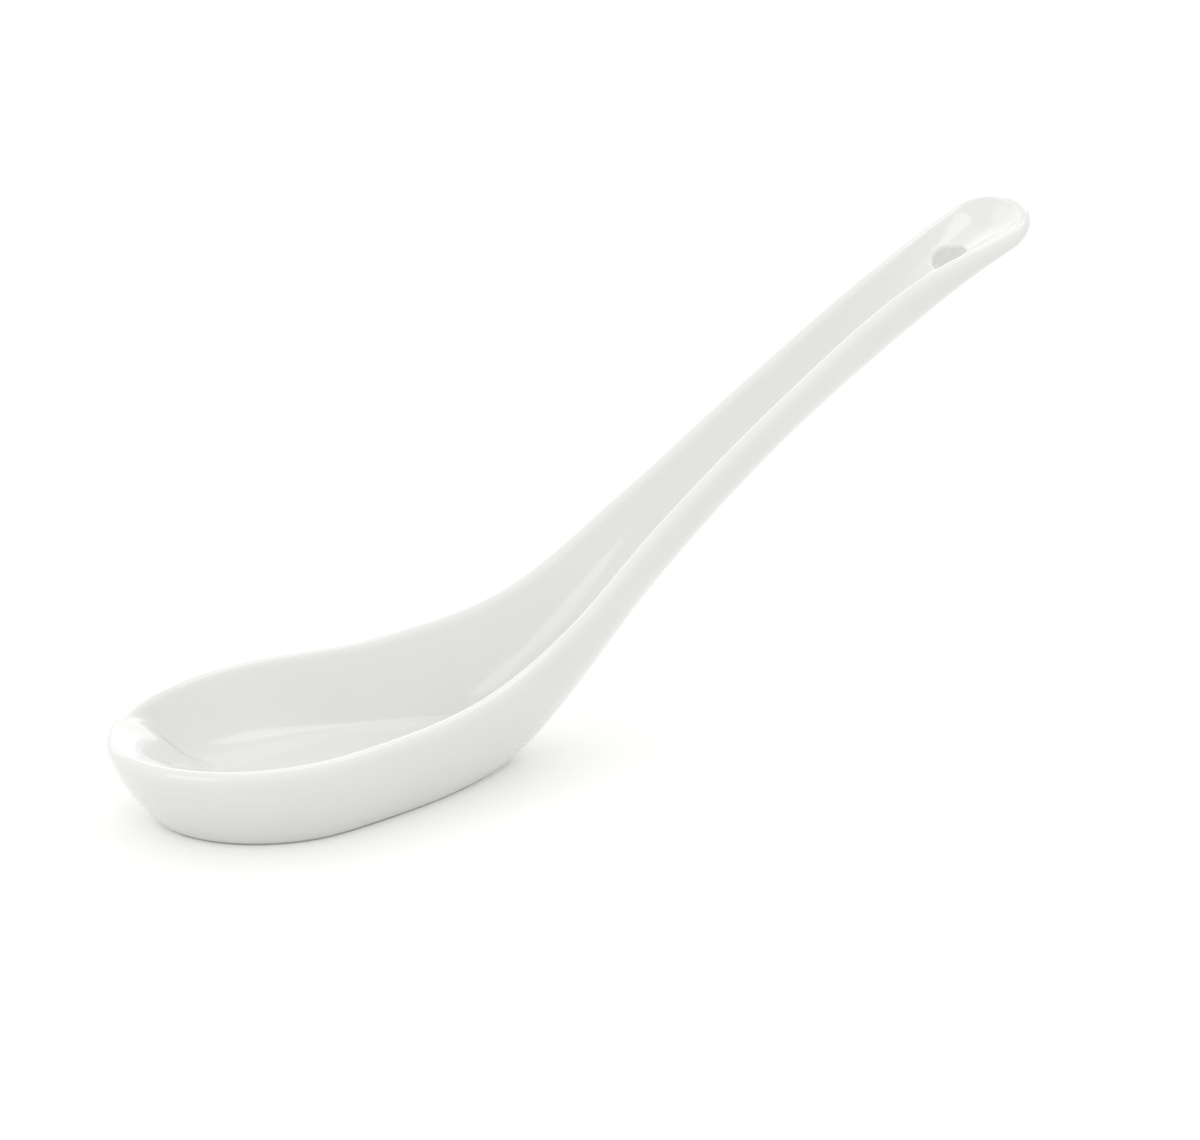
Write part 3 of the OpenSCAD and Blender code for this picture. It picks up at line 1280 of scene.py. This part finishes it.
@dataclass(frozen=True)
class ProductCamera:
    """Camera at the photograph's viewing angle, for a frame of 1200 by 1140 pixels.

    Args:
        azimuth: Angle off square to the spoon's side, in degrees.
        elevation: Angle above level, in degrees.
        roll: Turn of the picture, in degrees.
        target_x: Distance behind the lip of the point in the frame's middle, in mm.
        target_z: Height of that point, in mm.
        focal_pixels: Focal length in pixels of the frame.
        pixels_per_mm: Pixels to a millimetre at that point.
        frame_pixels: Width of the frame.
        sensor_mm: Width of the sensor.
        clip: Nearest and farthest distance that is rendered, in metres.
    """

    azimuth: float = -30.0
    elevation: float = 20.8
    roll: float = 0.4
    target_x: float = 73.1
    target_z: float = 24.3
    focal_pixels: float = 5432.0
    pixels_per_mm: float = 7.34
    frame_pixels: float = 1200.0
    sensor_mm: float = 36.0
    clip: Pair = (0.01, 20.0)

    def make(self, origin_x: float) -> None:
        """Adds the camera.

        Args:
            origin_x: Distance from the lip to the frame's origin, in millimetres.
        """
        a, e, r = map(math.radians, (self.azimuth, self.elevation, self.roll))
        flat = math.cos(e)
        back = Vector((math.sin(a) * flat, -math.cos(a) * flat, math.sin(e)))
        level = Vector((math.cos(a), math.sin(a), 0))
        upright = back.cross(level)
        right = level * math.cos(r) + upright * math.sin(r)
        up = upright * math.cos(r) - level * math.sin(r)
        data = bpy.data.cameras.new("product_camera")
        data.sensor_width = self.sensor_mm
        data.lens = self.focal_pixels / self.frame_pixels * data.sensor_width
        camera = bpy.data.objects.new("product_camera", data)
        bpy.context.scene.collection.objects.link(camera)
        distance = self.focal_pixels / self.pixels_per_mm * MM
        target = Vector(((self.target_x - origin_x) * MM, 0, self.target_z * MM))
        turned = Matrix((right, up, back)).transposed().to_4x4()
        camera.matrix_world = Matrix.Translation(target + back * distance) @ turned
        data.clip_start, data.clip_end = self.clip
        bpy.context.scene.camera = camera


@dataclass
class Studio:
    """Floor, lamps, surroundings and camera.

    Args:
        surround: Strength of the light from all sides.
        tint: Its colour.
        backdrop: Colour of the surroundings where they are seen.
        floor: The floor.
        camera: The camera.
        lamps: The lamps.
    """

    surround: float = 0.96
    tint: Triple = (1.0, 1.0, 0.98)
    backdrop: Triple = (1.0, 1.0, 1.0)
    floor: StudioFloor = field(default_factory=StudioFloor)
    camera: ProductCamera = field(default_factory=ProductCamera)
    lamps: tuple[Softbox, ...] = (
        Softbox("lit_backdrop", (0.80, 0.92, 0.55), (0.9, 0.6), 0.8),
        Softbox("left_softbox", (-0.90, -0.40, 0.60), (0.7, 0.7), 1.15),
        Softbox("back_softbox", (0.00, 1.15, 0.58), (1.0, 0.5), 0.6),
        Softbox("top_softbox", (0.30, 0.28, 1.00), (0.65, 0.45), 0.7),
    )

    def surroundings(self) -> bpy.types.World:
        """Makes a world that lights the spoon evenly and is plain white where seen.

        Returns:
            The world.
        """
        world = bpy.data.worlds.new("white_studio")
        world.use_nodes = True
        tree = world.node_tree
        tree.nodes.clear()
        light = tree.nodes.new("ShaderNodeBackground")
        light.inputs["Color"].default_value = (*self.tint, 1.0)
        light.inputs["Strength"].default_value = self.surround
        seen = tree.nodes.new("ShaderNodeBackground")
        seen.inputs["Color"].default_value = (*self.backdrop, 1.0)
        choose = tree.nodes.new("ShaderNodeMixShader")
        out = tree.nodes.new("ShaderNodeOutputWorld")
        tree.links.new(add_seen(tree), choose.inputs["Fac"])
        tree.links.new(light.outputs[0], choose.inputs[1])
        tree.links.new(seen.outputs[0], choose.inputs[2])
        tree.links.new(choose.outputs[0], out.inputs["Surface"])
        return world

    def build(self, origin_x: float) -> None:
        """Sets the studio up.

        Args:
            origin_x: Distance from the lip to the frame's origin, in millimetres.
        """
        self.floor.make()
        for lamp in self.lamps:
            lamp.make()
        self.camera.make(origin_x)
        bpy.context.scene.world = self.surroundings()
        bpy.context.scene.view_settings.view_transform = "Standard"


def main() -> None:
    """Builds the spoon and its studio, and reports each piece."""
    logging.basicConfig(level=logging.INFO, format="%(name)s: %(message)s")
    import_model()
    cad_low, cad_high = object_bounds()
    skin = SpoonSkin()
    origin_x = -cad_low.x / MM
    for piece in (GlazeCoat(skin), PorcelainBody(skin)):
        made = piece.build(origin_x)
        LOG.info("%s: %d faces", made.name, len(made.data.polygons))
    Studio().build(origin_x)


if __name__ == "__main__":
    main()
